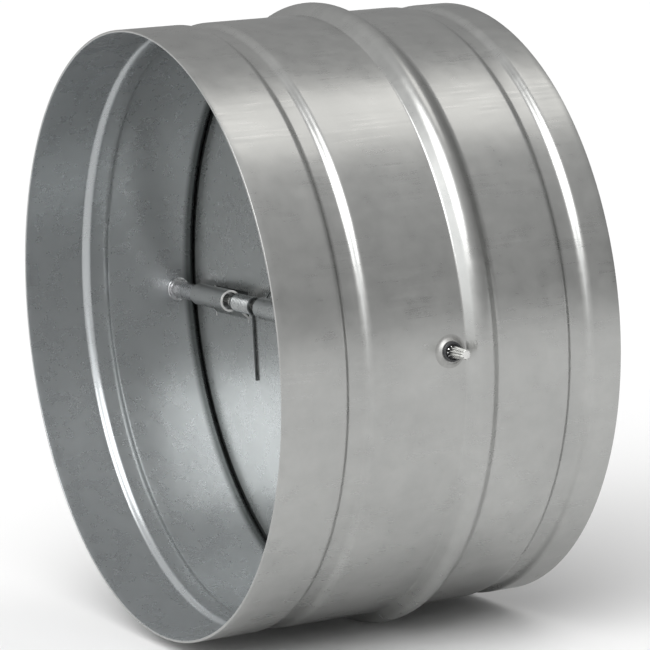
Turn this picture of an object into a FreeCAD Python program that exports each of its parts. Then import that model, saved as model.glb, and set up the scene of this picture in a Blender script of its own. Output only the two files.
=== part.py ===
import FreeCAD, Part
import math
import os

from FreeCAD import Vector

# A spring-closed backdraft damper for round ventilation duct.
# Frame: the duct axis is Y, the outlet rim lies at -Y and the inlet rim at +Y, the spindle is
# parallel to X, and +Z is up. The origin is on the duct axis, half way between the rims.
# All sizes are millimetres.

# Casing: a rolled sheet tube
CASING_OD = 199.0            # slips inside a 200 mm duct
CASING_LENGTH = 119.0
SHEET = 0.8

# Two grooves pressed inwards, each a flat between two slopes
OUTLET_GROOVE_CENTRE = 26.35     # from the outlet rim
INLET_GROOVE_CENTRE = 14.7       # from the inlet rim
GROOVE_WIDTH = 10.5
GROOVE_FLAT = 4.0
GROOVE_DEPTH = 1.6
GROOVE_BLEND = 1.6               # bend radius along the groove's corners

# One half-round bead pressed outwards, which holds the seal behind the blades
BEAD_BEHIND_BLADE = 3.7          # from the blades' inlet face to the bead's centre
BEAD_WIDTH = 11.6
BEAD_HEIGHT = 3.8
BEAD_BLEND = 1.5                 # bend radius at the bead's feet

# Low cone-shaped collars drawn out of the sheet round the spindle's two holes
COLLAR_HEIGHT = 0.8              # out of the tube
COLLAR_WALL = 0.55               # at the top
COLLAR_SLOPE = 40.0
COLLAR_FOOT = 1.4                # radius where a collar leaves the tube

# Spindle and what it runs through
SPINDLE_FROM_OUTLET = 57.9
SPINDLE_D = 4.0
STUB_LENGTH = 10.0               # stands out of the casing at each end
FLUTED_LENGTH = 8.2
FLUTES = 10
FLUTE_DEPTH = 0.35
TIP_D = 3.2                      # the flutes taper to this

BUSH_WALL = 0.75
BUSH_FLANGE_REACH = 0.35         # past the barrel
BUSH_FLANGE_T = 0.95
BUSH_FLANGE_ROUND = 0.25
BUSH_RECESS_WIDTH = 0.5          # a counterbore round the rod
BUSH_RECESS_DEPTH = 0.9
SLEEVE_WALL = 0.9
SLEEVE_INSET = 2.4               # a sleeve ends this far inside its knuckle, towards a spring
WASHER_REACH = 1.25              # past the sleeve
WASHER_T = 0.8

# Blades: two half-discs of one sheet, each with rolled knuckles on its straight edge
BLADE_T = 0.8
BLADE_CLEARANCE = 1.7            # blade edge to the casing's bore
BLADE_SETBACK = 6.3              # spindle axis to the blades' outlet face
EDGE_GAP = 0.8                   # between the straight edges of the closed blades

OUTER_KNUCKLE_INSET = 16.5       # from the blade's edge
INNER_KNUCKLE_START = 5.5        # from mid-span
KNUCKLE_RELIEF = 0.6             # slit at each side of a knuckle's neck
NECK_ANGLE = 45.0                # slope of the step
NECK_BEND = 0.9                  # inner bend radius where the sheet steps to the knuckle
NECK_DROP = 3.7                  # straight run of sheet beside the rolled eye
NECK_LAND = 1.4                  # flat sheet between the step and the blade's own cut
ROLL_OPEN_ANGLE = 62.0           # the eye stops this short of a full turn
NOTCH_HEIGHT = 3.8               # cut-out facing the other blade's knuckle
NOTCH_SIDE = 1.0                 # and how far it is wider on each side

# Torsion springs
WIRE_D = 0.8
COIL_PLAY = 0.4                  # radial, round the rod
COIL_TURNS = 14
COIL_PITCH = 1.08
COIL_END_GAP = 4.5               # to the knuckle at each side
LEG_REACH = 28.0                 # spindle axis to the end of a leg
LEG_STEP = 5.0                   # height over which a leg steps back to its blade
LEG_BEND = 1.2

# Seal ring in the bead
SEAL_BASE_DEPTH = 1.6            # how far its body stands in from the bore
SEAL_OVERLAP = 2.9               # how far its lip reaches in behind the blades' edge
SEAL_LIP_T = 1.8

# Clearances
RUN = 0.05                       # radial, between a shaft and its hole
SEAT = 0.3                       # a blade or a leg to what it rests on
FIT = 0.1                        # end to end, between fixed pieces
BORE_FIT = 0.15                  # seal to the bead that holds it
WELD = 0.01                      # how near two stretches of one wire count as joined
PAST = 1.0                       # how far a cutter runs past what it cuts

# Derived values
OUTER_R = CASING_OD / 2.0
BORE_R = OUTER_R - SHEET
OUTLET_Y = -CASING_LENGTH / 2.0
INLET_Y = CASING_LENGTH / 2.0
SPINDLE_Y = OUTLET_Y + SPINDLE_FROM_OUTLET
SPINDLE_R = SPINDLE_D / 2.0
BUSH_R = SPINDLE_R + RUN + BUSH_WALL
BUSH_SEAT_X = OUTER_R + COLLAR_HEIGHT
COLLAR_R = BUSH_R + RUN + COLLAR_WALL
COLLAR_SPREAD = 1.0 / math.tan(math.radians(COLLAR_SLOPE))
COLLAR_BASE_R = COLLAR_R + COLLAR_HEIGHT * COLLAR_SPREAD
SLEEVE_R = SPINDLE_R + RUN + SLEEVE_WALL
WASHER_R = SLEEVE_R + WASHER_REACH
EYE_R = SLEEVE_R + RUN
KNUCKLE_R = EYE_R + BLADE_T
BLADE_R = BORE_R - BLADE_CLEARANCE
BLADE_FRONT_Y = SPINDLE_Y + BLADE_SETBACK
BLADE_REAR_Y = BLADE_FRONT_Y + BLADE_T
BEAD_Y = BLADE_REAR_Y + BEAD_BEHIND_BLADE
WIRE_R = WIRE_D / 2.0
COIL_R = SPINDLE_R + COIL_PLAY + WIRE_R
COIL_LENGTH = COIL_TURNS * COIL_PITCH
NECK_HIGH = NECK_DROP + (BLADE_SETBACK - EYE_R) / math.tan(math.radians(NECK_ANGLE))
KNUCKLE_TOP = NECK_HIGH + NECK_LAND


def circle_dip(radius, half_chord):
    """How far a circle falls away from its tangent at half_chord beside the touching point."""
    return radius - math.sqrt(radius * radius - half_chord * half_chord)


WASHER_OUTER_X = BORE_R - circle_dip(BORE_R, WASHER_R) - FIT / 2.0
WASHER_INNER_X = WASHER_OUTER_X - WASHER_T
SLEEVE_OUTER_X = WASHER_INNER_X - FIT
SPRING_BAY = COIL_LENGTH + WIRE_D + 2.0 * COIL_END_GAP
OUTER_KNUCKLE_END = BLADE_R - OUTER_KNUCKLE_INSET
KNUCKLE_LENGTH = (OUTER_KNUCKLE_END - INNER_KNUCKLE_START - SPRING_BAY) / 2.0
OUTER_KNUCKLE_START = OUTER_KNUCKLE_END - KNUCKLE_LENGTH
INNER_KNUCKLE_END = INNER_KNUCKLE_START + KNUCKLE_LENGTH
SPRING_MID_X = (OUTER_KNUCKLE_START + INNER_KNUCKLE_END) / 2.0


def at(y, r):
    """A point of a profile in the YZ plane, r from the duct axis."""
    return Vector(0, y, r)


def blended_edges(points, radii):
    """Straight runs through points, with a tangent arc of the given radius at each inner one."""
    edges = []
    start = points[0]
    for before, corner, after, radius in zip(points, points[1:], points[2:], radii):
        back = (before - corner).normalize()
        ahead = (after - corner).normalize()
        half = back.getAngle(ahead) / 2.0
        reach = radius / math.tan(half)
        middle = corner + (back + ahead).normalize() * (radius / math.sin(half) - radius)
        edges.append(Part.makeLine(start, corner + back * reach))
        edges.append(Part.Arc(corner + back * reach, middle, corner + ahead * reach).toShape())
        start = corner + ahead * reach
    edges.append(Part.makeLine(start, points[-1]))
    return edges


def revolve_about_duct(face):
    return face.revolve(Vector(0, 0, 0), Vector(0, 1, 0), 360)


def cylinder_along_x(radius, x0, x1):
    """A round bar on the spindle's axis, from x0 to x1."""
    return Part.makeCylinder(radius, x1 - x0, Vector(x0, SPINDLE_Y, 0), Vector(1, 0, 0))


def turned_half(shape):
    """The same part turned half a turn about the duct axis: right and upper become left and lower."""
    other = shape.copy()
    other.rotate(Vector(0, 0, 0), Vector(0, 1, 0), 180)
    return other


# Casing

def groove_points(radius, centre):
    """The four corners of a groove in a skin of the given radius."""
    floor = radius - GROOVE_DEPTH
    return [at(centre - GROOVE_WIDTH / 2.0, radius), at(centre - GROOVE_FLAT / 2.0, floor),
            at(centre + GROOVE_FLAT / 2.0, floor), at(centre + GROOVE_WIDTH / 2.0, radius)]


def bead_edges(radius, foot):
    """A crown arc on two foot arcs, all tangent, standing BEAD_HEIGHT out of the skin."""
    half = BEAD_WIDTH / 2.0
    span = (BEAD_HEIGHT ** 2 + half ** 2) / (2.0 * BEAD_HEIGHT)
    crown = span - foot
    crown_r = radius + BEAD_HEIGHT - crown
    touch_y = crown * half / span
    touch_r = crown_r + crown * (radius + foot - crown_r) / span
    sweep = math.acos(1.0 - BEAD_HEIGHT / span) / 2.0
    feet = []
    for side in (-1, 1):
        foot_y = BEAD_Y + side * half
        middle = at(foot_y - side * foot * math.sin(sweep), radius + foot * (1.0 - math.cos(sweep)))
        ends = [at(foot_y, radius), at(BEAD_Y + side * touch_y, touch_r)]
        feet.append(Part.Arc(ends[0], middle, ends[1]).toShape())
    top = Part.Arc(at(BEAD_Y - touch_y, touch_r), at(BEAD_Y, radius + BEAD_HEIGHT),
                   at(BEAD_Y + touch_y, touch_r)).toShape()
    return [feet[0], top, feet[1]]


def skin_edges(radius, shoulder, floor, foot):
    """One surface of the casing from rim to rim: groove, bead, groove."""
    bends = [shoulder, floor, floor, shoulder]
    outlet_side = [at(OUTLET_Y, radius)] + groove_points(radius, OUTLET_Y + OUTLET_GROOVE_CENTRE)
    inlet_side = groove_points(radius, INLET_Y - INLET_GROOVE_CENTRE) + [at(INLET_Y, radius)]
    outlet_side.append(at(BEAD_Y - BEAD_WIDTH / 2.0, radius))
    inlet_side.insert(0, at(BEAD_Y + BEAD_WIDTH / 2.0, radius))
    return (blended_edges(outlet_side, bends) + bead_edges(radius, foot)
            + blended_edges(inlet_side, bends))


def is_collar_foot(edge):
    """Whether an edge is where a collar meets the outside of the tube."""
    box = edge.BoundBox
    on_tube = abs(abs(box.Center.x) - OUTER_R) < SHEET / 2.0
    return on_tube and abs(box.YLength - 2.0 * COLLAR_BASE_R) < RUN


def make_casing():
    outer = skin_edges(OUTER_R, GROOVE_BLEND, GROOVE_BLEND - SHEET, BEAD_BLEND)
    inner = skin_edges(BORE_R, GROOVE_BLEND - SHEET, GROOVE_BLEND, BEAD_BLEND + SHEET)
    rims = [Part.makeLine(at(y, BORE_R), at(y, OUTER_R)) for y in (OUTLET_Y, INLET_Y)]
    profile = Part.Wire(Part.__sortEdges__(outer + inner + rims))
    tube = revolve_about_duct(Part.Face(profile))
    root_x = BORE_R + SHEET / 2.0
    root_r = COLLAR_R + (BUSH_SEAT_X - root_x) * COLLAR_SPREAD
    collar = Part.makeCone(root_r, COLLAR_R, BUSH_SEAT_X - root_x,
                           Vector(root_x, SPINDLE_Y, 0), Vector(1, 0, 0))
    tube = tube.fuse([collar, turned_half(collar)])
    tube = tube.makeFillet(COLLAR_FOOT, [edge for edge in tube.Edges if is_collar_foot(edge)])
    return tube.cut(cylinder_along_x(BUSH_R + RUN, -BUSH_SEAT_X - PAST, BUSH_SEAT_X + PAST))


# Seal

def make_seal_ring():
    """A rubber ring: its crown fills the bead and its lip stands inwards for the blades."""
    crown = (BEAD_HEIGHT ** 2 + (BEAD_WIDTH / 2.0) ** 2) / (2.0 * BEAD_HEIGHT) - BEAD_BLEND - SHEET
    centre_r = BORE_R + BEAD_HEIGHT - crown
    crown -= BORE_FIT
    front_y = BLADE_REAR_Y + SEAT
    front_r = centre_r + math.sqrt(crown ** 2 - (BEAD_Y - front_y) ** 2)
    rear_y = BEAD_Y + crown
    body_r = BORE_R - SEAL_BASE_DEPTH
    lip_r = BLADE_R - SEAL_OVERLAP
    lip_y = front_y + SEAL_LIP_T
    tip = SEAL_LIP_T / 2.0
    edges = [
        Part.Arc(at(front_y, front_r), at(BEAD_Y, centre_r + crown), at(rear_y, centre_r)).toShape(),
        Part.makeLine(at(rear_y, centre_r), at(rear_y, body_r)),
        Part.makeLine(at(rear_y, body_r), at(lip_y, body_r)),
        Part.makeLine(at(lip_y, body_r), at(lip_y, lip_r + tip)),
        Part.Arc(at(lip_y, lip_r + tip), at(front_y + tip, lip_r), at(front_y, lip_r + tip)).toShape(),
        Part.makeLine(at(front_y, lip_r + tip), at(front_y, front_r)),
    ]
    return revolve_about_duct(Part.Face(Part.Wire(edges)))


# Spindle, bushes, washers and sleeves

def flute_star(x, crest_r):
    """The outline of the flutes across the rod, with crests on crest_r."""
    points = []
    for i in range(2 * FLUTES):
        angle = math.pi * i / FLUTES
        radius = crest_r if i % 2 else crest_r - FLUTE_DEPTH
        points.append(Vector(x, SPINDLE_Y + radius * math.cos(angle), radius * math.sin(angle)))
    return Part.makePolygon(points + points[:1])


def fluted_end():
    """The right end of the rod: flutes all round, tapering to the tip."""
    end_x = OUTER_R + STUB_LENGTH
    return Part.makeLoft([flute_star(end_x - FLUTED_LENGTH, SPINDLE_R), flute_star(end_x, TIP_D / 2.0)],
                         True, True)


def make_spindle():
    plain = OUTER_R + STUB_LENGTH - FLUTED_LENGTH
    rod = cylinder_along_x(SPINDLE_R, -plain, plain)
    right = fluted_end()
    return rod.fuse([right, turned_half(right)]).removeSplitter()


def make_bush():
    """A flanged bush that lines the right collar, with a counterbore round the rod."""
    seat_x = BUSH_SEAT_X + RUN
    face_x = seat_x + BUSH_FLANGE_T
    flange = cylinder_along_x(BUSH_R + BUSH_FLANGE_REACH, seat_x, face_x)
    rim = [edge for edge in flange.Edges if edge.BoundBox.XMin > face_x - RUN]
    flange = flange.makeFillet(BUSH_FLANGE_ROUND, rim)
    barrel = cylinder_along_x(BUSH_R, BORE_R, seat_x)
    bore = cylinder_along_x(SPINDLE_R + RUN, BORE_R - PAST, face_x + PAST)
    recess = cylinder_along_x(SPINDLE_R + BUSH_RECESS_WIDTH, face_x - BUSH_RECESS_DEPTH, face_x + PAST)
    return flange.fuse(barrel).cut(bore).cut(recess).removeSplitter()


def ring_on_spindle(radius, x0, x1):
    bore = cylinder_along_x(SPINDLE_R + RUN, x0 - PAST, x1 + PAST)
    return cylinder_along_x(radius, x0, x1).cut(bore)


# Blades

def knuckle_section():
    """The bent sheet of one knuckle in the YZ plane: step, straight neck and rolled eye."""
    turn = math.radians(NECK_ANGLE)
    shift = BLADE_T * math.tan(turn / 2.0)

    def on_blade(y, z):
        return Vector(0, SPINDLE_Y + y, z)

    def on_eye(radius, degrees):
        angle = math.radians(degrees)
        return on_blade(radius * math.cos(angle), radius * math.sin(angle))

    front = [on_blade(BLADE_SETBACK, KNUCKLE_TOP), on_blade(BLADE_SETBACK, NECK_HIGH),
             on_blade(EYE_R, NECK_DROP), on_blade(EYE_R, 0)]
    rear = [on_blade(KNUCKLE_R, 0), on_blade(KNUCKLE_R, NECK_DROP - shift),
            on_blade(BLADE_SETBACK + BLADE_T, NECK_HIGH - shift),
            on_blade(BLADE_SETBACK + BLADE_T, KNUCKLE_TOP)]
    half_way = (ROLL_OPEN_ANGLE - 360.0) / 2.0
    edges = blended_edges(front, [NECK_BEND, NECK_BEND + BLADE_T])
    edges.append(Part.Arc(on_eye(EYE_R, 0), on_eye(EYE_R, half_way),
                          on_eye(EYE_R, ROLL_OPEN_ANGLE)).toShape())
    edges.append(Part.makeLine(on_eye(EYE_R, ROLL_OPEN_ANGLE), on_eye(KNUCKLE_R, ROLL_OPEN_ANGLE)))
    edges.append(Part.Arc(on_eye(KNUCKLE_R, ROLL_OPEN_ANGLE), on_eye(KNUCKLE_R, half_way),
                          on_eye(KNUCKLE_R, 0)).toShape())
    edges += blended_edges(rear, [NECK_BEND, NECK_BEND + BLADE_T])
    edges.append(Part.makeLine(rear[-1], front[0]))
    return Part.Face(Part.Wire(Part.__sortEdges__(edges)))


def slab(x0, x1, z1):
    """A cutter through the blade's sheet, from below its straight edge up to z1."""
    corner = Vector(x0, BLADE_FRONT_Y - PAST, -PAST)
    return Part.makeBox(x1 - x0, BLADE_T + 2.0 * PAST, z1 + PAST, corner)


def make_upper_blade():
    disc = Part.makeCylinder(BLADE_R, BLADE_T, Vector(0, BLADE_FRONT_Y, 0), Vector(0, 1, 0))
    blade = disc.common(Part.makeBox(2.0 * BLADE_R, CASING_LENGTH, BLADE_R,
                                     Vector(-BLADE_R, OUTLET_Y, EDGE_GAP / 2.0)))
    section = knuckle_section()
    own = ((-INNER_KNUCKLE_END, -INNER_KNUCKLE_START), (OUTER_KNUCKLE_START, OUTER_KNUCKLE_END))
    for x0, x1 in own:
        blade = blade.cut(slab(x0 - KNUCKLE_RELIEF, x1 + KNUCKLE_RELIEF, KNUCKLE_TOP))
        blade = blade.cut(slab(-x1 - NOTCH_SIDE, -x0 + NOTCH_SIDE, NOTCH_HEIGHT))
        knuckle = section.extrude(Vector(KNUCKLE_LENGTH, 0, 0))
        knuckle.translate(Vector(x0, 0, 0))
        blade = blade.fuse(knuckle)
    return blade.removeSplitter()


# Torsion springs

def swept_wire(path, start, direction):
    section = Part.Wire(Part.makeCircle(WIRE_R, start, direction))
    return path.makePipeShell([section], True, True)


def make_left_spring():
    """Close coils on the rod, a leg down the lower blade and a leg up the upper blade."""
    x0 = -SPRING_MID_X - COIL_LENGTH / 2.0
    helix = Part.makeHelix(COIL_PITCH, COIL_LENGTH, COIL_R)
    turn = FreeCAD.Rotation(Vector(0, 1, 0), Vector(0, 0, 1), Vector(1, 0, 0), "XYZ")
    helix.Placement = FreeCAD.Placement(Vector(x0, SPINDLE_Y, 0), turn)
    start = Vector(x0, SPINDLE_Y + COIL_R, 0)
    rise = Vector(COIL_PITCH / (2.0 * math.pi * COIL_R), 0, 1)
    coil = swept_wire(Part.Wire(helix.Edges), start, rise)
    leg_y = BLADE_FRONT_Y - SEAT - WIRE_R
    solids = []
    for x, side in ((x0, -1), (x0 + COIL_LENGTH, 1)):
        root = Vector(x, SPINDLE_Y + COIL_R, -side * WIRE_R)
        route = [root, Vector(x, SPINDLE_Y + COIL_R, side * LEG_BEND), Vector(x, leg_y, side * LEG_STEP),
                 Vector(x, leg_y, side * LEG_REACH)]
        path = Part.Wire(blended_edges(route, [LEG_BEND, LEG_BEND]))
        solids.append(swept_wire(path, root, Vector(0, 0, side)))
    return coil.fuse(solids, WELD)


def build():
    bush = make_bush()
    washer = ring_on_spindle(WASHER_R, WASHER_INNER_X, WASHER_OUTER_X)
    sleeve = ring_on_spindle(SLEEVE_R, OUTER_KNUCKLE_START + SLEEVE_INSET, SLEEVE_OUTER_X)
    centre_half = INNER_KNUCKLE_END - SLEEVE_INSET
    blade = make_upper_blade()
    spring = make_left_spring()
    return {
        "casing": make_casing(),
        "seal_ring": make_seal_ring(),
        "spindle": make_spindle(),
        "bush_right": bush,
        "bush_left": turned_half(bush),
        "washer_right": washer,
        "washer_left": turned_half(washer),
        "sleeve_right": sleeve,
        "sleeve_left": turned_half(sleeve),
        "sleeve_centre": ring_on_spindle(SLEEVE_R, -centre_half, centre_half),
        "upper_blade": blade,
        "lower_blade": turned_half(blade),
        "torsion_spring_left": spring,
        "torsion_spring_right": turned_half(spring),
    }


os.makedirs("parts", exist_ok=True)
for node, shape in build().items():
    shape.exportStep("parts/" + node + ".step")
    print(node, "solids", len(shape.Solids), "valid", shape.isValid(), "mm3", round(shape.Volume, 2))
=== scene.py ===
import math

import bpy
from mathutils import Matrix, Vector


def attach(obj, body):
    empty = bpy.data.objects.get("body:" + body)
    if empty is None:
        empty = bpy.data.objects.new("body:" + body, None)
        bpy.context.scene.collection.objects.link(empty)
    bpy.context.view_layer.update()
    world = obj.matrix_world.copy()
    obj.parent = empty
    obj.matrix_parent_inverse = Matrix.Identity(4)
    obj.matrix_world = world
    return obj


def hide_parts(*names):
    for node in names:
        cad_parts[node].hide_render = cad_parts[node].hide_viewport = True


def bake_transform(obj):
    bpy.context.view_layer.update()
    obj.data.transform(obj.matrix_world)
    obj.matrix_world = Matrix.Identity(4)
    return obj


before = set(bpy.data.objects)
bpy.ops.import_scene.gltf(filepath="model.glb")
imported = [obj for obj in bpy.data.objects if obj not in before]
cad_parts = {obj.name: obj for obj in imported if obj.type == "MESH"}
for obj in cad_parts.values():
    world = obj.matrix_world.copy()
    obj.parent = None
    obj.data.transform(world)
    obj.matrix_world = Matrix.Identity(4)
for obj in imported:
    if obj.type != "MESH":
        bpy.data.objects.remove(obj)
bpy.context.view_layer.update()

# Sizes in millimetres. The duct axis is Y, the spindle is parallel to X, +Z is up.
MM = 0.001

# Casing
CASING_R = 99.5
SHEET = 0.8
HALF_LENGTH = 59.5
RIM_ROUND = 0.15
GROOVE_CENTRES = (-33.15, 44.8)
GROOVE_WIDTH = 8.9
GROOVE_FLAT = 5.9
GROOVE_DEPTH = 1.6
GROOVE_BENDS = (2.6, 2.2, 2.2, 2.6)  # shoulder, floor, floor, shoulder, on the outer skin
BEAD_Y = 9.2
BEAD_CROWN = 4.83
BEAD_HEIGHT = 3.8
BEAD_LEANS = (50.0, 40.0)        # the slopes of the bead's outlet side and its inlet side
BEAD_FEET = (1.0, 4.0)           # the bends where they meet the tube
WAVE = 0.06                      # how far the rolled sheet strays inwards from a true tube
WAVES = ((2.0, 0.0, 0.7), (5.0, 0.03, 0.0), (3.0, -0.05, 2.0))  # times round, per mm along, phase
COLLAR_TOP_X = 100.3             # the low cones drawn out of the sheet round the spindle's holes
COLLAR_R = 3.4
COLLAR_SLOPE = 40.0
COLLAR_FOOT = 1.4
COLLAR_LIP = 0.25
COLLAR_SINK = 0.06               # how far a collar's rim lies inside the tube's skin
COLLAR_ROUNDS = (0.1, COLLAR_LIP, COLLAR_FOOT, 0.02, 0.02)
SEAM_ANGLE = 176.0               # where the tube is welded, from the top
SEAM_HALF_WIDTH = 0.55
SEAM_DEPTH = 0.12
MESH_GAP = 2.4                   # longest stretch of the section between two rows of vertices
MESH_STEPS = (0.25, 1.5)         # degrees between two columns, in the close places and elsewhere
MESH_CLOSE = ((90.0, 4.0), (270.0, 4.0), (SEAM_ANGLE, 2.0))  # the bushes and the weld

# Seal
SEAL_FRONT_Y = 5.8
SEAL_CROWN_CENTRE_R = 98.46
SEAL_CROWN_R = 3.89
SEAL_BODY_R = 97.1
SEAL_LIP_R = 94.1
SEAL_LIP_T = 1.8
SEAL_ROUNDS = (0.4, 0.5)
SEAL_SHADE = (0.2, 2.2, (0.11, 0.12, 0.12))  # painted shade darkening the inside sheet just before the seal: from, full, colour

# Spindle and what it carries
SPINDLE_Y = -1.6
SPINDLE_R = 2.0
SPINDLE_END = 109.5
FLUTE_START = 101.3
FLUTE_RUN_IN = 0.3
FLUTES = 10
FLUTE_DEPTH = 0.35
FLUTE_SHARPNESS = 1.5
FLUTE_SIDES = 16
TAPER_STEPS = 8
TIP_R = 1.6
TIP_CHAMFER = (0.3, 0.25)        # along the rod and inwards
TIP_FLUTE_SHARE = 0.7
TURNED_STEPS = 96
RUN = 0.05                       # play between parts that turn or slide on each other
BUSH_R = 2.8
BUSH_FLANGE_R = 3.15
BUSH_SEAT = 100.35
BUSH_FACE = 101.3
BUSH_ROUND = 0.25
BUSH_EDGE, BUSH_CORNER = 0.08, 0.05
BUSH_RECESS_R = 2.5
BUSH_RECESS_DEPTH = 0.9
WASHER_R = 4.2
WASHER_FROM, WASHER_TO = 97.76, 98.56
SLEEVE_R = 2.95
SLEEVE_FROM, SLEEVE_TO = 57.86, 97.66
CENTRE_SLEEVE_END = 28.14
EDGE_ROUND = 0.12
WASHER_ROUND = 0.3

# Blades
BLADE_T = 0.8
BLADE_R = 97.0
BLADE_MID_Y = 5.1
BLADE_EDGE_Z = 0.4
BLADE_EDGE_ANGLE = 55.0          # sharper corners than this are rounded
KNUCKLES = ((-30.54, -5.5), (55.46, 80.5))
RELIEF = 0.6
KNUCKLE_TOP = 8.4
NOTCH_TOP = 2.4
NOTCH_SIDE = 1.0
EYE_MID_R = 3.4
NECK_CORNERS = ((6.7, 6.83), (3.4, 3.53))  # mid-sheet, from the spindle's axis
NECK_BEND = 1.3
EYE_END_DEGREES = -298.0

# Dark strips in the seal's rubber on the blades' rear faces, over the windows of the knuckles, as
# painted shade there
STRIP_T = 0.6
STRIP_FROM, STRIP_TO = 0.6, 11.0  # from mid-height
STRIP_END_X = 84.0
STRIP_ROUNDS = (0.1, 0.2, 0.2, 0.1)
STRIP_STEPS = 60

# Springs
WIRE_R = 0.4
WIRE_SIDES = 14
COIL_R = 2.8
COIL_TURNS = 14
COIL_PITCH = 1.08
COIL_HALF = COIL_TURNS * COIL_PITCH / 2.0
COIL_MID_X = 43.0
COIL_STEPS = 40                  # per turn
LEG_Y = 5.85                     # from the spindle's axis to the legs
LEG_STEP = 5.0
LEG_REACH = 28.0
LEG_BEND = 1.2

# Textures, with frequencies per millimetre
NOISE_SPAN = (0.3, 0.7)          # where nearly all values of a noise lie
CLOUDS = (0.035, 0.035, 0.035)
BLOTCHES = (0.16, 0.16, 0.16)
PATCHES = (0.09, 0.05, 0.09)
PATCH_SPAN = (0.42, 0.6)
STAINS = (0.35, 0.35, 0.35)
DUST = (0.2, 0.2, 0.2)

# Camera, stage and light
CAMERA_AT = (1.00609, -0.50168, 0.16243)
CAMERA_AZIMUTH = 63.21
CAMERA_ELEVATION = 8.37
CAMERA_ROLL = -3.125
CAMERA_LENS = 190.14
FLOOR_Z = -0.1033
FLOOR_REACH = 60.0
FLOOR_COLOUR = (0.80, 0.80, 0.80)
WORLD_SLOPE = 0.8                # how much the room gains towards the front, against height
WORLD_RISE = (0.33, 0.88, (-0.5, 1.0))  # strength low down and high up, and the heights there
WORLD_FALL = (0.74, 1.0, (-0.8, 0.4))  # the factor on the left and on the right
LAMPS = (                        # name, direction, width in degrees, radiance, colour
    ("overhead", (0.05, 0.44, 0.896), 28.0, 1.3, (1.0, 0.98, 0.95)),
    ("front", (0.50, -0.47, 0.73), 50.0, 3.8, (1.0, 1.0, 1.0)),
    ("low_front", (0.25, -0.90, 0.36), 50.0, 0.95, (0.97, 0.99, 1.0)),
)


# Profiles, as lists of (along, out) points

def arc(centre, radius, start, end, steps):
    """Points on a circle from start to end degrees, both kept."""
    points = []
    for i in range(steps + 1):
        angle = math.radians(start + (end - start) * i / steps)
        points.append((centre[0] + radius * math.cos(angle), centre[1] + radius * math.sin(angle)))
    return points


def rounded(corners, radii, steps=6):
    """A run through corners, with a tangent arc of the given radius at each inner one."""
    path = [corners[0]]
    for before, corner, after, radius in zip(corners, corners[1:], corners[2:], radii):
        tip = Vector(corner)
        back = (Vector(before) - tip).normalized()
        ahead = (Vector(after) - tip).normalized()
        half = back.angle(ahead) / 2.0
        reach = radius / math.tan(half)
        centre = tip + (back + ahead).normalized() * (radius / math.sin(half))
        start = tip + back * reach - centre
        turn = start.angle_signed(tip + ahead * reach - centre)
        for i in range(steps + 1):
            spoke = start.copy()
            spoke.rotate(Matrix.Rotation(-turn * i / steps, 2))
            path.append(tuple(centre + spoke))
    path.append(corners[-1])
    return path


def spaced(path, gap):
    """The same path with long runs divided into stretches no longer than gap."""
    points = [path[0]]
    for a, b in zip(path, path[1:]):
        count = max(1, math.ceil(math.dist(a, b) / gap))
        for i in range(1, count + 1):
            points.append((a[0] + (b[0] - a[0]) * i / count, a[1] + (b[1] - a[1]) * i / count))
    return points


def offset(path, distance):
    """The path moved sideways by distance, to its left."""
    moved = []
    for i, point in enumerate(path):
        before = Vector(path[max(i - 1, 0)])
        after = Vector(path[min(i + 1, len(path) - 1)])
        run = (after - before).normalized()
        moved.append((point[0] - run.y * distance, point[1] + run.x * distance))
    return moved


def trimmed(path, length):
    """The path with both its ends drawn in by length along the duct."""
    (y0, r0), (y1, r1) = path[0], path[-1]
    return [(y0 + length, r0)] + path[1:-1] + [(y1 - length, r1)]


def ring_section(x0, x1, inner, outer, edge):
    """A rectangle from x0 to x1 and from inner to outer, with its four corners rounded."""
    middle = (x0 + x1) / 2.0
    corners = [(middle, inner), (x1, inner), (x1, outer), (x0, outer), (x0, inner), (middle, inner)]
    return rounded(corners, [edge] * 4, 3)[:-1]


# Meshes

def new_object(name, vertices, faces, smooth_degrees):
    """A mesh object from vertices in millimetres, smooth where it bends less than that."""
    mesh = bpy.data.meshes.new(name)
    mesh.from_pydata([tuple(c * MM for c in v) for v in vertices], [], faces)
    mesh.validate()
    mesh.update()
    mesh.shade_smooth()
    mesh.set_sharp_from_angle(angle=math.radians(smooth_degrees))
    piece = bpy.data.objects.new(name, mesh)
    bpy.context.scene.collection.objects.link(piece)
    return piece


def ring_faces(rows, columns, closed):
    """Quads between rows of closed rings, and from the last ring to the first if closed."""
    faces = []
    for i in range(rows if closed else rows - 1):
        below = (i + 1) % rows
        for j in range(columns):
            right = (j + 1) % columns
            faces.append((i * columns + j, below * columns + j,
                          below * columns + right, i * columns + right))
    return faces


def flipped(faces):
    """The same faces, wound the other way."""
    return [tuple(reversed(face)) for face in faces]


def capped(rows, columns):
    """Quads between rows of closed rings, and a face over the first ring and over the last."""
    faces = ring_faces(rows, columns, False)
    faces.append(tuple(range(columns)))
    faces.append(tuple(reversed(range((rows - 1) * columns, rows * columns))))
    return faces


def about_duct(loop, angles, wander=None):
    """Turns a closed (y, r) loop about the duct axis, at the given angles from the top."""
    vertices = []
    for degrees in angles:
        turn = math.radians(degrees)
        for y, r in loop:
            out = r - wander(y, degrees) if wander else r
            vertices.append((out * math.sin(turn), y, out * math.cos(turn)))
    return vertices, ring_faces(len(angles), len(loop), True)


def about_spindle(loop, steps, side):
    """Turns a closed (x, r) loop about the spindle, on the right (1) or left (-1) half."""
    vertices = []
    for i in range(steps):
        turn = side * 2.0 * math.pi * i / steps
        for x, r in loop:
            vertices.append((side * x, SPINDLE_Y + r * math.cos(turn), r * math.sin(turn)))
    return vertices, flipped(ring_faces(steps, len(loop), True))


# Casing

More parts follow.
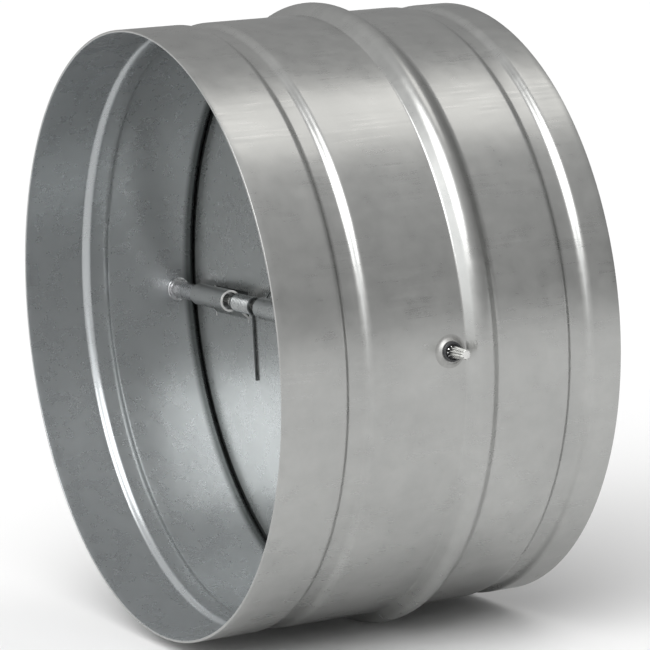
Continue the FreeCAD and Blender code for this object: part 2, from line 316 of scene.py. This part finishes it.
def casing_skin():
    """The outer skin from rim to rim: groove, bead, groove."""
    def groove(centre):
        floor = CASING_R - GROOVE_DEPTH
        return [(centre - GROOVE_WIDTH / 2.0, CASING_R), (centre - GROOVE_FLAT / 2.0, floor),
                (centre + GROOVE_FLAT / 2.0, floor), (centre + GROOVE_WIDTH / 2.0, CASING_R)]

    crown_r = CASING_R + BEAD_HEIGHT - BEAD_CROWN
    halves = []
    for side, degrees, foot in zip((-1.0, 1.0), BEAD_LEANS, BEAD_FEET):
        lean = math.radians(degrees)
        straight = BEAD_HEIGHT - (BEAD_CROWN + foot) * (1.0 - math.cos(lean))
        reach = (BEAD_CROWN + foot) * math.sin(lean) + straight / math.tan(lean)
        halves.append(((BEAD_Y + side * reach, CASING_R + foot), foot, degrees))
    (front_centre, front_bend, front_lean), (rear_centre, rear_bend, rear_lean) = halves
    front_foot = arc(front_centre, front_bend, -90.0, -90.0 + front_lean, 8)
    top = arc((BEAD_Y, crown_r), BEAD_CROWN, 90.0 + front_lean, 90.0 - rear_lean, 28)
    rear_foot = arc(rear_centre, rear_bend, -90.0 - rear_lean, -90.0, 10)
    front = rounded([(-HALF_LENGTH, CASING_R)] + groove(GROOVE_CENTRES[0]) + [front_foot[0]],
                    GROOVE_BENDS)
    rear = rounded([rear_foot[-1]] + groove(GROOVE_CENTRES[1]) + [(HALF_LENGTH, CASING_R)],
                   GROOVE_BENDS)
    return front + front_foot[1:] + top + rear_foot + rear[1:]


def casing_loop():
    """The whole section of the sheet, with rounded rims."""
    outer = spaced(casing_skin(), MESH_GAP)
    inner = offset(outer, -SHEET)
    end = HALF_LENGTH - RIM_ROUND
    high = CASING_R - RIM_ROUND
    low = CASING_R - SHEET + RIM_ROUND
    inlet_rim = (arc((end, high), RIM_ROUND, 60.0, 0.0, 2)
                 + arc((end, low), RIM_ROUND, 0.0, -60.0, 2))
    outlet_rim = (arc((-end, low), RIM_ROUND, 240.0, 180.0, 2)
                  + arc((-end, high), RIM_ROUND, 180.0, 120.0, 2))
    return trimmed(outer, RIM_ROUND) + inlet_rim + trimmed(inner, RIM_ROUND)[::-1] + outlet_rim


def casing_angles():
    """Angles from the top: close together by the two bushes and the weld."""
    close, wide = MESH_STEPS
    angles = []
    degrees = 0.0
    while degrees < 359.99:
        angles.append(degrees)
        fine = any(abs(degrees - middle) < reach for middle, reach in MESH_CLOSE)
        degrees += close if fine else wide
    return angles


def casing_wander(y, degrees):
    """How far the sheet lies inside the true tube: slow waves and a weld line."""
    turn = math.radians(degrees)
    wave = sum(math.sin(times * turn + drift * y + phase) for times, drift, phase in WAVES)
    inwards = WAVE * (len(WAVES) + wave) / (2.0 * len(WAVES))
    seam = math.radians(degrees - SEAM_ANGLE) * CASING_R / SEAM_HALF_WIDTH
    return inwards + SEAM_DEPTH * math.exp(-seam * seam)


def make_casing():
    """The tube and its two collars, each a turned shell that starts inside the sheet."""
    vertices, faces = about_duct(casing_loop(), casing_angles(), casing_wander)
    tube_faces = len(faces)
    base = CASING_R - SHEET / 2.0
    bore = BUSH_R + RUN
    spread = 1.0 / math.tan(math.radians(COLLAR_SLOPE))
    cone_r = COLLAR_R + (COLLAR_TOP_X - CASING_R) * spread
    foot_r = cone_r + COLLAR_FOOT
    section = [(base, bore), (COLLAR_TOP_X, bore), (COLLAR_TOP_X, COLLAR_R), (CASING_R, cone_r),
               (CASING_R - COLLAR_SINK, foot_r), (base, foot_r), (base, bore)]
    loop = rounded(section, COLLAR_ROUNDS, 8)[:-1]
    for side in (1, -1):
        shell, quads = about_spindle(loop, TURNED_STEPS, side)
        first = len(vertices)
        vertices += [bent_to_tube(v) for v in shell]
        faces += [tuple(first + i for i in quad) for quad in quads]
    return new_object("casing_tube", vertices, faces, 50.0), tube_faces


def mark_sheet(mesh, tube_faces):
    """Gives the tube's inside the second material and the collars the third; the inside's is a
    cooler copy of the same sheet, as painted light.
    """
    for face in mesh.polygons:
        if face.index >= tube_faces:
            face.material_index = 2
        elif face.normal.x * face.center.x + face.normal.z * face.center.z < 0.0:
            face.material_index = 1


def bent_to_tube(vertex):
    """Moves a collar's vertex in to follow the tube's roundness, most at its foot."""
    x, y, z = vertex
    dip = CASING_R - math.sqrt(CASING_R ** 2 - z * z)
    share = min(1.0, max(0.0, (COLLAR_TOP_X - abs(x)) / (COLLAR_TOP_X - CASING_R)))
    return (math.copysign(abs(x) - dip * share, x), y, z)


def make_seal():
    """The rubber ring in the bead, with the lip that the blades close against."""
    reach = math.sqrt(SEAL_CROWN_R ** 2 - (BEAD_Y - SEAL_FRONT_Y) ** 2)
    start = math.degrees(math.atan2(reach, SEAL_FRONT_Y - BEAD_Y))
    crown = arc((BEAD_Y, SEAL_CROWN_CENTRE_R), SEAL_CROWN_R, start, 0.0, 20)
    rear_y = BEAD_Y + SEAL_CROWN_R
    tip = SEAL_LIP_T / 2.0
    lip_end = SEAL_FRONT_Y + SEAL_LIP_T
    under = rounded([(rear_y, SEAL_CROWN_CENTRE_R), (rear_y, SEAL_BODY_R), (lip_end, SEAL_BODY_R),
                     (lip_end, SEAL_LIP_R + tip)], SEAL_ROUNDS, 4)
    lip = arc((SEAL_FRONT_Y + tip, SEAL_LIP_R + tip), tip, 0.0, -180.0, 10)
    vertices, faces = about_duct(crown + under[1:-1] + lip, range(360))
    return new_object("bead_seal", vertices, faces, 45.0)


# Spindle and what it carries

def make_spindle():
    """A drawn rod whose two ends are fluted and taper to the tip."""
    steps = FLUTE_SIDES * FLUTES
    chamfer_long, chamfer_deep = TIP_CHAMFER
    stations = [(0.0, SPINDLE_R, 0.0), (FLUTE_START - FLUTE_RUN_IN, SPINDLE_R, 0.0),
                (FLUTE_START, SPINDLE_R, FLUTE_DEPTH)]
    for i in range(1, TAPER_STEPS + 1):
        share = i / TAPER_STEPS
        x = FLUTE_START + (SPINDLE_END - chamfer_long - FLUTE_START) * share
        stations.append((x, SPINDLE_R + (TIP_R - SPINDLE_R) * share, FLUTE_DEPTH))
    stations.append((SPINDLE_END, TIP_R - chamfer_deep, FLUTE_DEPTH * TIP_FLUTE_SHARE))
    whole = [(-x, r, depth) for x, r, depth in reversed(stations[1:])] + stations
    vertices = []
    for x, r, depth in whole:
        for j in range(steps):
            turn = 2.0 * math.pi * j / steps
            out = r - depth * (0.5 + 0.5 * math.cos(FLUTES * turn)) ** FLUTE_SHARPNESS
            vertices.append((x, SPINDLE_Y + out * math.cos(turn), out * math.sin(turn)))
    return new_object("fluted_spindle", vertices, flipped(capped(len(whole), steps)), 40.0)


def bush_loop():
    """Barrel, flange with a rounded face, and the counterbore round the rod."""
    inner = SPINDLE_R + RUN
    seat = BUSH_SEAT
    recess = BUSH_FACE - BUSH_RECESS_DEPTH
    corners = [(seat, inner), (recess, inner), (recess, BUSH_RECESS_R), (BUSH_FACE, BUSH_RECESS_R),
               (BUSH_FACE, BUSH_FLANGE_R), (seat, BUSH_FLANGE_R), (seat, BUSH_R),
               (CASING_R - SHEET, BUSH_R), (CASING_R - SHEET, inner), (seat, inner)]
    radii = [BUSH_EDGE, BUSH_EDGE, BUSH_ROUND * 0.5, BUSH_ROUND, BUSH_EDGE, BUSH_CORNER,
             BUSH_EDGE, BUSH_EDGE]
    return rounded(corners, radii, 4)[:-1]


def make_turned(name, loop, side):
    """A small turned part on the spindle."""
    vertices, faces = about_spindle(loop, TURNED_STEPS, side)
    return new_object(name, vertices, faces, 45.0)


# Blades

def blade_outline():
    """The upper blade's flat sheet as an (x, z) outline, and where its knuckles start."""
    cuts = []
    for x0, x1 in KNUCKLES:
        cuts.append((x0 - RELIEF, x1 + RELIEF, KNUCKLE_TOP, (x0, x1)))
        cuts.append((-x1 - NOTCH_SIDE, -x0 + NOTCH_SIDE, NOTCH_TOP, None))
    end_x = math.sqrt(BLADE_R ** 2 - BLADE_EDGE_Z ** 2)
    outline = [(-end_x, BLADE_EDGE_Z)]
    roots = []
    for x0, x1, top, knuckle in sorted(cuts):
        outline += [(x0, BLADE_EDGE_Z), (x0, top)]
        if knuckle:
            roots.append(len(outline))
            outline += [(knuckle[0], top), (knuckle[1], top)]
        outline += [(x1, top), (x1, BLADE_EDGE_Z)]
    first = math.degrees(math.asin(BLADE_EDGE_Z / BLADE_R))
    outline += arc((0.0, 0.0), BLADE_R, first, 180.0 - first, 180)[:-1]
    return outline, roots


def knuckle_path():
    """Mid-sheet from the blade down the step and the neck and round the eye, as (y, z)."""
    high, low = NECK_CORNERS
    blade_y = BLADE_MID_Y - SPINDLE_Y
    step = rounded([(blade_y, KNUCKLE_TOP), high, low, (EYE_MID_R, 0.0)], [NECK_BEND, NECK_BEND], 6)
    eye = arc((0.0, 0.0), EYE_MID_R, 0.0, EYE_END_DEGREES, 56)
    return [(SPINDLE_Y + y, z) for y, z in step + eye[1:]]


def make_blade(name, side):
    """One bent sheet. The lower blade (-1) is the upper one turned half a turn about the duct."""
    outline, roots = blade_outline()
    vertices = [(x, BLADE_MID_Y, z) for x, z in outline]
    faces = [tuple(range(len(outline)))]
    for root in roots:
        x0, x1 = outline[root][0], outline[root + 1][0]
        last = (root, root + 1)
        for y, z in knuckle_path()[1:]:
            vertices += [(x0, y, z), (x1, y, z)]
            row = (len(vertices) - 2, len(vertices) - 1)
            faces.append((last[1], last[0], row[0], row[1]))
            last = row
    placed = [(side * x, y, side * z) for x, y, z in vertices]
    piece = new_object(name, placed, faces, 40.0)
    sheet = piece.modifiers.new("sheet", "SOLIDIFY")
    sheet.thickness = BLADE_T * MM
    sheet.offset = 0.0
    sheet.use_even_offset = True
    sheet.material_offset_rim = 1
    edges = piece.modifiers.new("edges", "BEVEL")
    edges.width = EDGE_ROUND * MM
    edges.segments = 2
    edges.limit_method = "ANGLE"
    edges.angle_limit = math.radians(BLADE_EDGE_ANGLE)
    edges.harden_normals = True
    return piece


def make_shade_strip(name, side):
    """A dark strip behind a blade's windows, which stands in for the shade there."""
    y0 = BLADE_MID_Y + BLADE_T / 2.0 + RUN
    middle = (STRIP_FROM + STRIP_TO) / 2.0
    corners = [(y0, middle), (y0, STRIP_TO), (y0 + STRIP_T, STRIP_TO), (y0 + STRIP_T, STRIP_FROM),
               (y0, STRIP_FROM), (y0, middle)]
    section = rounded(corners, STRIP_ROUNDS, 3)[1:-1]
    stations = [STRIP_END_X * (2.0 * i / STRIP_STEPS - 1.0) for i in range(STRIP_STEPS + 1)]
    vertices = [(side * x, y, side * z) for x in stations for y, z in section]
    return new_object(name, vertices, capped(len(stations), len(section)), 40.0)


# Springs

def spring_path():
    """The left spring's wire: up the lower leg, round the coils and up the upper leg."""
    x0 = -COIL_MID_X - COIL_HALF
    x1 = -COIL_MID_X + COIL_HALF
    leg = rounded([(COIL_R, 0.0), (COIL_R, LEG_BEND), (LEG_Y, LEG_STEP), (LEG_Y, LEG_REACH)],
                  [LEG_BEND, LEG_BEND], 8)[1:]
    path = [(x0, SPINDLE_Y + y, -z) for y, z in reversed(leg)]
    for i in range(COIL_TURNS * COIL_STEPS + 1):
        turn = 2.0 * math.pi * i / COIL_STEPS
        path.append((x0 + COIL_PITCH * i / COIL_STEPS, SPINDLE_Y + COIL_R * math.cos(turn),
                     COIL_R * math.sin(turn)))
    path += [(x1, SPINDLE_Y + y, z) for y, z in leg]
    return path


def mark_shaded_leg(mesh, path):
    """Gives a spring's leg and its last turn the second material: the same wire painted darker, as
    painted shade.
    """
    for face in mesh.polygons:
        x = path[min(face.index // WIRE_SIDES, len(path) - 1)][0]
        if abs(abs(x) - COIL_MID_X) > COIL_HALF - COIL_PITCH:
            face.material_index = 1


def swept(path):
    """The wire along path, closed at both ends."""
    points = [Vector(p) for p in path]
    normal = (points[1] - points[0]).orthogonal().normalized()
    vertices = []
    for i, point in enumerate(points):
        run = (points[min(i + 1, len(points) - 1)] - points[max(i - 1, 0)]).normalized()
        normal = (normal - run * normal.dot(run)).normalized()
        across = run.cross(normal)
        for j in range(WIRE_SIDES):
            turn = 2.0 * math.pi * j / WIRE_SIDES
            spoke = normal * math.cos(turn) + across * math.sin(turn)
            vertices.append(tuple(point + spoke * WIRE_R))
    return vertices, flipped(capped(len(points), WIRE_SIDES))


def make_spring_half(name, side, half):
    """Upper (1) or lower (-1) half of the wire. The right spring (1) is the left one turned."""
    path = spring_path()
    middle = len(path) // 2
    kept = path[middle:] if half == 1 else path[:middle + 1]
    placed = [(-side * x, y, -side * z) for x, y, z in kept]
    vertices, faces = swept(placed)
    return new_object(name, vertices, faces, 60.0), placed


# Materials

class Nodes:
    """Adds nodes to one material or world and links them."""

    def __init__(self, owner):
        owner.use_nodes = True
        self.tree = owner.node_tree

    def fill(self, node, inputs):
        """Gives a node its inputs, each as a plain value or as the socket that feeds it."""
        for key, value in inputs.items():
            if isinstance(value, bpy.types.NodeSocket):
                self.tree.links.new(value, node.inputs[key])
            else:
                node.inputs[key].default_value = value

    def add(self, kind, inputs, **settings):
        node = self.tree.nodes.new(kind)
        for key, value in settings.items():
            setattr(node, key, value)
        self.fill(node, inputs)
        return node.outputs

    def math(self, operation, a, b=0.0):
        return self.add("ShaderNodeMath", {0: a, 1: b}, operation=operation)[0]

    def parts(self, vector):
        return tuple(self.add("ShaderNodeSeparateXYZ", {0: vector}))

    def place(self, stretch, around_duct=False):
        """Coordinates in millimetres times stretch: plain, or unrolled round the duct."""
        source = self.add("ShaderNodeTexCoord", {})["Object"]
        if around_duct:
            x, y, z = self.parts(source)
            along = self.math("MULTIPLY", self.math("ARCTAN2", x, z), CASING_R * MM)
            squares = self.math("ADD", self.math("MULTIPLY", x, x), self.math("MULTIPLY", z, z))
            out = self.math("SQRT", squares)
            source = self.add("ShaderNodeCombineXYZ", {0: along, 1: y, 2: out})[0]
        factors = tuple(per_mm / MM for per_mm in stretch)
        return self.add("ShaderNodeVectorMath", {0: source, 1: factors}, operation="MULTIPLY")[0]

    def noise(self, place, detail=4.0, roughness=0.6):
        return self.add("ShaderNodeTexNoise", {"Vector": place, "Scale": 1.0, "Detail": detail,
                                               "Roughness": roughness})["Fac"]

    def spread(self, value, low, high, span=NOISE_SPAN):
        """Maps a span of values, a noise's unless told otherwise, to low..high."""
        return self.add("ShaderNodeMapRange", {"Value": value, "From Min": span[0],
                                               "From Max": span[1], "To Min": low,
                                               "To Max": high})[0]

    def mix(self, share, first, second):
        """The colour between two others."""
        return self.add("ShaderNodeMix", {0: share, 6: first, 7: second}, data_type="RGBA")[2]

    def bump(self, height, distance, strength, **below):
        """A relief as deep as distance in millimetres, on top of another where one is given."""
        return self.add("ShaderNodeBump", {"Height": height, "Distance": distance * MM,
                                           "Strength": strength, **below})[0]

    def surface(self, inputs):
        """Gives the material's own shader its inputs."""
        self.fill(self.tree.nodes["Principled BSDF"], inputs)


def opaque(colour):
    return (*colour, 1.0)


def sheet_metal(name, dark, light, rough, metallic, streaks, grain, relief=0.0, around_duct=True,
                painted_shade=None):
    """Rolled sheet: cloudy zinc with soft blotches and fine drawn streaks in patches."""
    material = bpy.data.materials.new(name)
    n = Nodes(material)
    clouds = n.noise(n.place(CLOUDS), 3.0, 0.5)
    blotches = n.noise(n.place(BLOTCHES), 4.0, 0.55)
    lines = n.noise(n.place(streaks, around_duct))
    patches = n.noise(n.place(PATCHES, around_duct), 2.0, 0.5)
    where = n.spread(patches, 0.15, 1.0, PATCH_SPAN)
    tone = n.math("ADD", n.spread(clouds, 0.0, 0.55), n.spread(blotches, 0.0, 0.45))
    colour = n.mix(tone, opaque(dark), opaque(light))
    # painted shade: the colour darkens towards the seal along the duct
    if painted_shade:
        start, full, shade_colour = painted_shade
        y = n.parts(n.place((1.0, 1.0, 1.0)))[1]
        colour = n.mix(n.spread(y, 0.0, 1.0, (start, full)), colour, opaque(shade_colour))
    worn = n.math("ADD", n.spread(blotches, -0.03, 0.03),
                  n.math("MULTIPLY", n.spread(lines, -grain, grain), where))
    drawn = n.bump(n.math("MULTIPLY", n.spread(lines, -1.0, 1.0), where), 0.004, relief)
    n.surface({"Base Color": colour, "Metallic": metallic,
               "Roughness": n.math("ADD", worn, rough),
               "Normal": n.bump(clouds, 0.3, 1.0, Normal=drawn)})
    return material


def turned_metal(name, dark, light, rough, lines, metallic=1.0):
    """Turned, drawn or plated small metal parts with fine tool lines."""
    material = bpy.data.materials.new(name)
    n = Nodes(material)
    fine = n.noise(n.place(lines))
    stains = n.noise(n.place(STAINS))
    n.surface({"Base Color": n.mix(n.spread(stains, 0.0, 1.0), opaque(dark), opaque(light)),
               "Roughness": n.spread(fine, rough - 0.08, rough + 0.08),
               "Normal": n.bump(fine, 0.03, 0.4), "Metallic": metallic})
    return material


def moulded(name, dark, light, rough, grain):
    """Plastic or rubber with a fine skin texture."""
    material = bpy.data.materials.new(name)
    n = Nodes(material)
    skin = n.noise(n.place((grain, grain, grain)))
    dust = n.noise(n.place(DUST), 5.0)
    n.surface({"Base Color": n.mix(n.spread(dust, 0.0, 1.0), opaque(dark), opaque(light)),
               "Roughness": n.spread(skin, rough - 0.06, rough + 0.08),
               "Normal": n.bump(skin, 0.03, 0.3)})
    return material


def paper(name, colour):
    """Plain and matt, for the floor."""
    material = bpy.data.materials.new(name)
    Nodes(material).surface({"Base Color": opaque(colour), "Roughness": 0.9,
                             "Specular IOR Level": 0.0})
    return material


def make_materials():
    """The object's materials by a short name."""
    even = (1.0, 1.0, 1.0)
    return {
        "outside": sheet_metal("galvanised_outside", (0.365, 0.368, 0.36), (0.45, 0.453, 0.442),
                               rough=0.305, metallic=1.0, streaks=(0.9, 0.04, 0.3), grain=0.06,
                               relief=0.3),
        # painted light: the same galvanised sheet, given a cooler and more even colour inside the
        # tube
        "inside": sheet_metal("galvanised_inside", (0.39, 0.407, 0.415), (0.425, 0.442, 0.45),
                              rough=0.28, metallic=0.74, streaks=(0.3, 0.03, 0.3), grain=0.015,
                              painted_shade=SEAL_SHADE),
        "blade": sheet_metal("blade_sheet", (0.45, 0.46, 0.455), (0.485, 0.495, 0.49),
                             rough=0.28, metallic=0.92, streaks=(0.03, 0.3, 0.3), grain=0.015,
                             around_duct=False),
        "collar": turned_metal("drawn_collar", (0.34, 0.34, 0.33), (0.40, 0.40, 0.39),
                               rough=0.50, lines=even),
        "edge": turned_metal("cut_edge", (0.75, 0.75, 0.74), (0.88, 0.88, 0.86),
                             rough=0.35, lines=(1.0, 3.0, 1.0), metallic=0.4),
        "rod": turned_metal("drawn_rod", (0.60, 0.60, 0.59), (0.76, 0.76, 0.74),
                            rough=0.25, lines=(0.3, 4.0, 4.0)),
        "zinc": turned_metal("zinc_plate", (0.58, 0.58, 0.59), (0.68, 0.68, 0.69),
                             rough=0.28, lines=(3.0, 0.8, 0.8)),
        "coil": turned_metal("spring_coil_wire", (0.32, 0.33, 0.33), (0.41, 0.42, 0.42),
                             rough=0.30, lines=even),
        # painted shade: the springs' own wire, darker on the legs and last turns than on the coil
        "leg": turned_metal("spring_wire_painted_shade", (0.06, 0.065, 0.065), (0.11, 0.115, 0.115),
                            rough=0.40, lines=even),
        "plastic": moulded("bush_plastic", (0.018, 0.019, 0.020), (0.035, 0.036, 0.038),
                           rough=0.38, grain=3.0),
        "rubber": moulded("seal_rubber", (0.020, 0.023, 0.023), (0.040, 0.044, 0.043),
                          rough=0.60, grain=2.0),
    }


# Assembly of the looks

def paint(piece, *materials):
    for material in materials:
        piece.data.materials.append(material)


def dress(piece, body, slot, *nodes):
    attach(piece, body)
    if nodes:
        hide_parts(*nodes)


def dress_casing(looks):
    """The tube with its collars, and the seal in its bead."""
    casing, tube_faces = make_casing()
    paint(casing, looks["outside"], looks["inside"], looks["collar"])
    mark_sheet(casing.data, tube_faces)
    dress(casing, "root", "galvanised", "casing")
    seal = make_seal()
    paint(seal, looks["rubber"])
    dress(seal, "root", "seal_rubber", "seal_ring")


def dress_spindle(looks):
    """The rod and the turned parts on it."""
    rod = make_spindle()
    paint(rod, looks["rod"])
    dress(rod, "root", "spindle_steel", "spindle")
    bore = SPINDLE_R + RUN
    washer = ring_section(WASHER_FROM, WASHER_TO, bore, WASHER_R, WASHER_ROUND)
    sleeve = ring_section(SLEEVE_FROM, SLEEVE_TO, bore, SLEEVE_R, EDGE_ROUND)
    centre = ring_section(-CENTRE_SLEEVE_END, CENTRE_SLEEVE_END, bore, SLEEVE_R, EDGE_ROUND)
    plastic = ("bush_plastic", looks["plastic"])
    zinc = ("zinc_steel", looks["zinc"])
    turned = []
    for side, hand in ((1, "right"), (-1, "left")):
        turned += [("flanged_bush_" + hand, bush_loop(), side, plastic, "bush_" + hand),
                   ("end_washer_" + hand, washer, side, zinc, "washer_" + hand),
                   ("spacer_tube_" + hand, sleeve, side, zinc, "sleeve_" + hand)]
    turned.append(("spacer_tube_centre", centre, 1, zinc, "sleeve_centre"))
    for name, loop, side, (slot, look), node in turned:
        piece = make_turned(name, loop, side)
        paint(piece, look)
        dress(piece, "root", slot, node)


def dress_blades(looks):
    """Each blade and the dark strip that stands in for the shade behind its windows."""
    for name, side in (("upper", 1), ("lower", -1)):
        flap = make_blade(name + "_flap", side)
        paint(flap, looks["blade"], looks["edge"])
        dress(flap, name + "_blade", "blade_sheet", name + "_blade")
        # painted shade: a dark strip that keeps the knuckles' windows dark
        strip = make_shade_strip(name + "_window_shade_strip", side)
        paint(strip, looks["rubber"])
        dress(strip, name + "_blade", "seal_rubber")


def dress_springs(looks):
    """Each spring is two halves, each with the leg that lies on one blade."""
    for side, hand in ((-1, "left"), (1, "right")):
        for half, label in ((-1, "lower"), (1, "upper")):
            piece, path = make_spring_half("spring_" + hand + "_" + label, side, half)
            paint(piece, looks["coil"], looks["leg"])
            mark_shaded_leg(piece.data, path)
            # the right spring is turned, so its lower half lies on the upper blade
            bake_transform(piece)
            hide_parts("torsion_spring_" + hand)


# Stage, light and camera

def make_stage():
    mesh = bpy.data.meshes.new("floor")
    size = FLOOR_REACH
    mesh.from_pydata([(-size, -size, FLOOR_Z), (size, -size, FLOOR_Z), (size, size, FLOOR_Z),
                      (-size, size, FLOOR_Z)], [], [(0, 1, 2, 3)])
    floor = bpy.data.objects.new("floor", mesh)
    bpy.context.scene.collection.objects.link(floor)
    paint(floor, paper("pale_floor", FLOOR_COLOUR))


def add_soft_lamp(name, towards, width, radiance, colour):
    """A distant lamp that is seen in the direction towards, as wide as width in degrees."""
    light = bpy.data.lights.new(name, "SUN")
    light.angle = math.radians(width)
    light.energy = radiance * math.pi * math.sin(light.angle / 2.0) ** 2
    light.color = colour
    lamp = bpy.data.objects.new(name, light)
    lamp.rotation_euler = Vector(towards).to_track_quat("Z", "Y").to_euler()
    bpy.context.scene.collection.objects.link(lamp)


def make_world():
    """A pale room: brightest high up in front of the object (-Y), darkest low down behind it."""
    world = bpy.data.worlds.new("studio")
    n = Nodes(world)
    x, y, z = n.parts(n.add("ShaderNodeTexCoord", {})["Generated"])
    height = n.math("ADD", n.math("MULTIPLY", y, -WORLD_SLOPE), z)
    strength = n.math("MULTIPLY", n.spread(height, *WORLD_RISE), n.spread(x, *WORLD_FALL))
    n.fill(n.tree.nodes["Background"], {"Color": (1.0, 1.0, 1.0, 1.0), "Strength": strength})
    bpy.context.scene.world = world


def make_camera():
    data = bpy.data.cameras.new("camera")
    data.lens = CAMERA_LENS
    camera = bpy.data.objects.new("camera", data)
    aim = Matrix.Rotation(math.radians(CAMERA_AZIMUTH), 4, "Z")
    tilt = Matrix.Rotation(math.radians(90.0 - CAMERA_ELEVATION), 4, "X")
    roll = Matrix.Rotation(math.radians(CAMERA_ROLL), 4, "Z")
    camera.matrix_world = Matrix.Translation(CAMERA_AT) @ aim @ tilt @ roll
    bpy.context.scene.collection.objects.link(camera)
    bpy.context.scene.camera = camera


materials = make_materials()
dress_casing(materials)
dress_spindle(materials)
dress_blades(materials)
dress_springs(materials)
make_stage()
make_world()
for lamp in LAMPS:
    add_soft_lamp(*lamp)
make_camera()
bpy.context.scene.view_settings.view_transform = "Standard"
